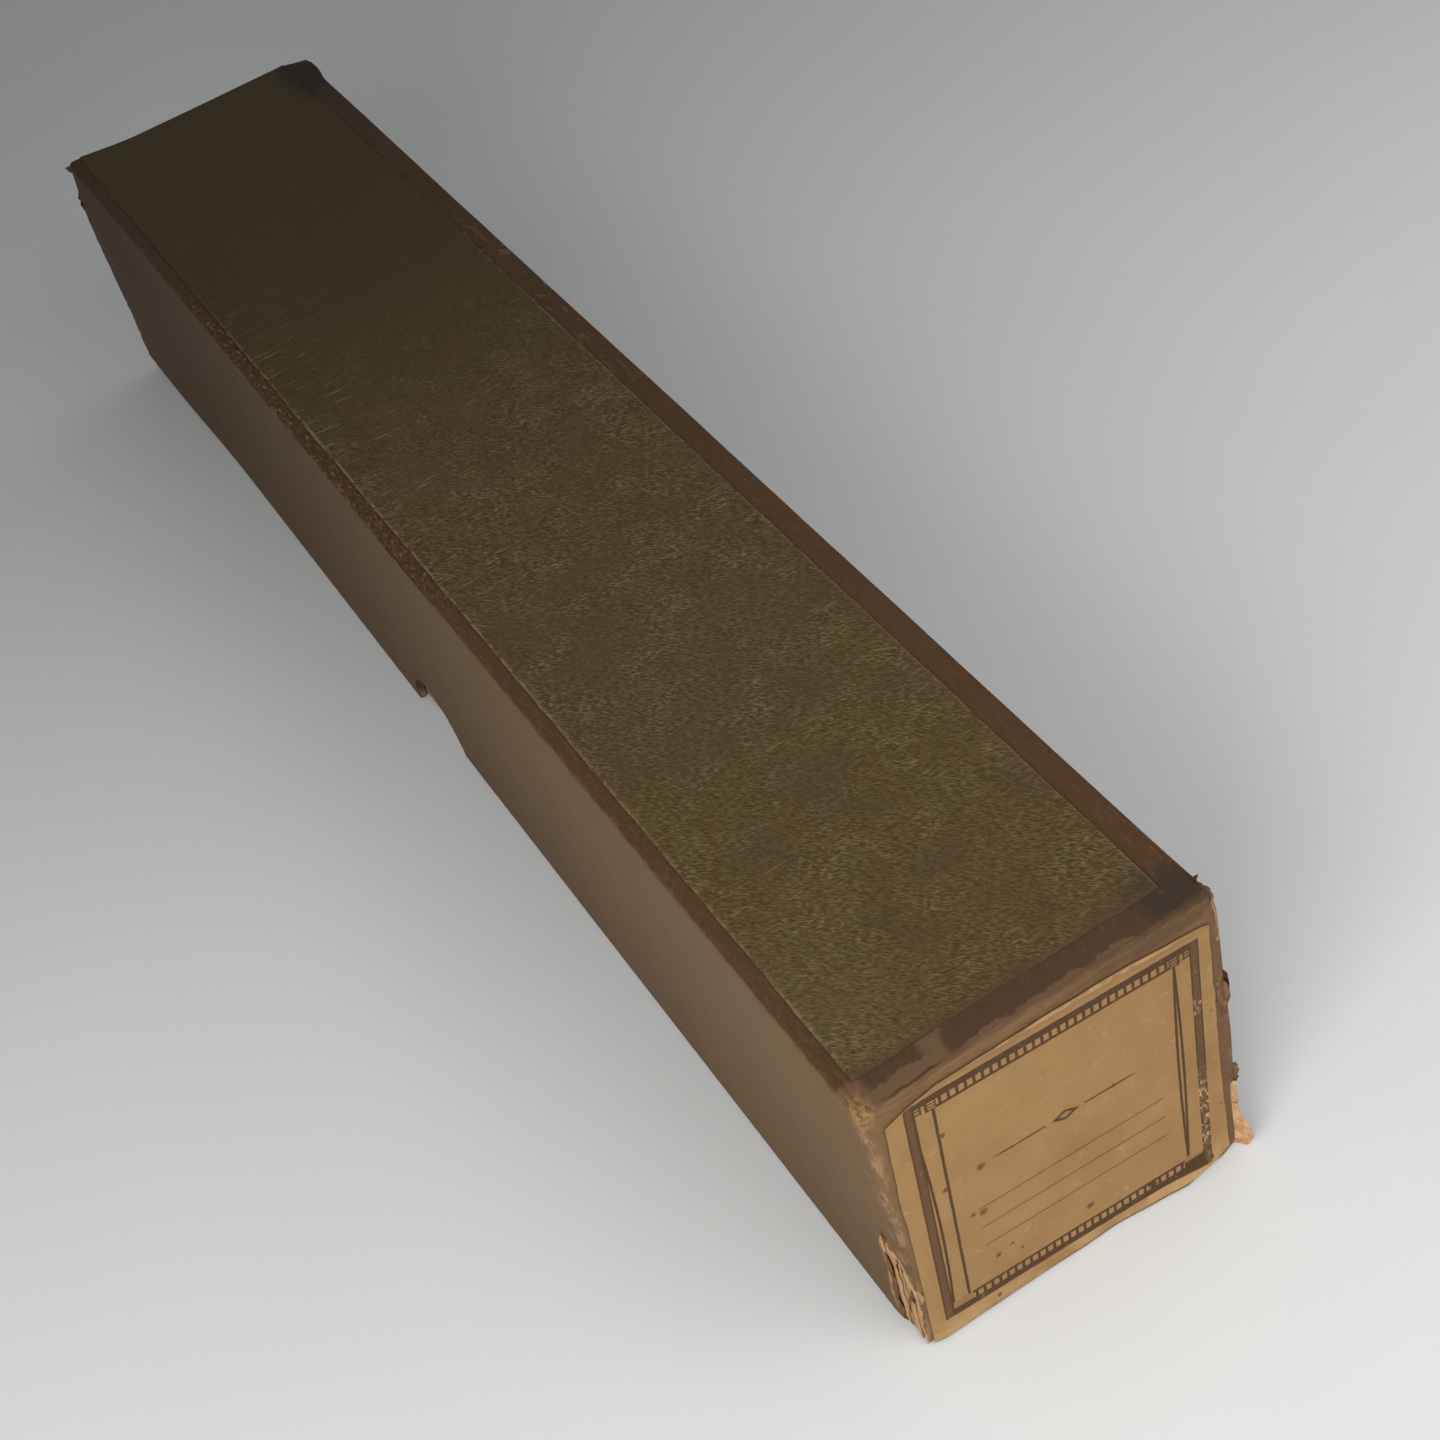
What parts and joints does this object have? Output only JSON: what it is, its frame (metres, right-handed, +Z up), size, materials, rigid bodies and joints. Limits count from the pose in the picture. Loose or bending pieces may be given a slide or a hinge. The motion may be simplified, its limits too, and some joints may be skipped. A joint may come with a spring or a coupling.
{
  "type": "piano roll",
  "caption": "Boxed piano roll: wound music paper on a flanged spool, lying in a cardboard tray under a full-depth lift-off lid with half-round thumb notches.",
  "frame": {"origin": "centre of the tray's underside, on the surface that the box stands on", "axes": "+X along the box towards its labelled end, +Z up, -Y towards the long side seen in the picture"},
  "size_m": [0.3241, 0.0576, 0.059],
  "materials": {
    "strawboard": "rough, fibrous",
    "stay_paper": "matte",
    "tray_paper": "matte, aged",
    "brown_wrap_paper": "satin, worn at the edges",
    "olive_grained_paper": "satin, embossed with a fine wavy grain",
    "label_paper": "matte, aged, printed",
    "leader_paper": "matte",
    "linen": "plain weave",
    "eyelet_brass": "dull",
    "music_paper": "matte",
    "core_board": "matte",
    "plug_wood": "bare turned wood",
    "flange_fibre": "pressed and lacquered",
    "plate_steel": "dull tinned",
    "nail_steel": "dull"
  },
  "bodies": {
    "tray": {"tray_base_board": "strawboard", "tray_front_board": "strawboard", "tray_back_board": "strawboard", "tray_left_board": "strawboard", "tray_right_board": "strawboard", "tray_corner_stays": "stay_paper", "tray_side_paper": "tray_paper", "tray_base_paper": "tray_paper"},
    "lid": {"lid_top_board": "strawboard", "lid_front_board": "strawboard", "lid_back_board": "strawboard", "lid_left_board": "strawboard", "lid_right_board": "strawboard", "lid_corner_stays": "stay_paper", "lid_side_wrap": "brown_wrap_paper", "lid_top_panel": "olive_grained_paper", "lid_end_label": "label_paper"},
    "leader": {"leader_sheet": "leader_paper", "leader_tab": "linen", "tab_eyelet": "eyelet_brass"},
    "spool": {"wound_paper": "music_paper", "core_tape": "stay_paper", "core_tube": "core_board", "left_plug": "plug_wood", "right_plug": "plug_wood", "left_flange": "flange_fibre", "right_flange": "flange_fibre", "bearing_plate": "plate_steel", "drive_plate": "plate_steel", "bearing_plate_nails": "nail_steel", "drive_plate_nails": "nail_steel"}
  },
  "joints": [
    {"name": "lid_lift", "type": "slide", "parent": "tray", "child": "lid", "axis": [0, 0, 1], "range_m": [0, 0.16]},
    {"name": "roll_lift", "type": "slide", "parent": "tray", "child": "leader", "axis": [0, 0, 1], "range_m": [0, 0.08]},
    {"name": "spool_turn", "type": "hinge", "parent": "leader", "child": "spool", "pos_m": [0, 0, 0.0268], "axis": [1, 0, 0], "continuous": true}
  ],
  "couplings": [
    {"joint": "roll_lift", "follows": "lid_lift", "ratio": 0.5}
  ]
}
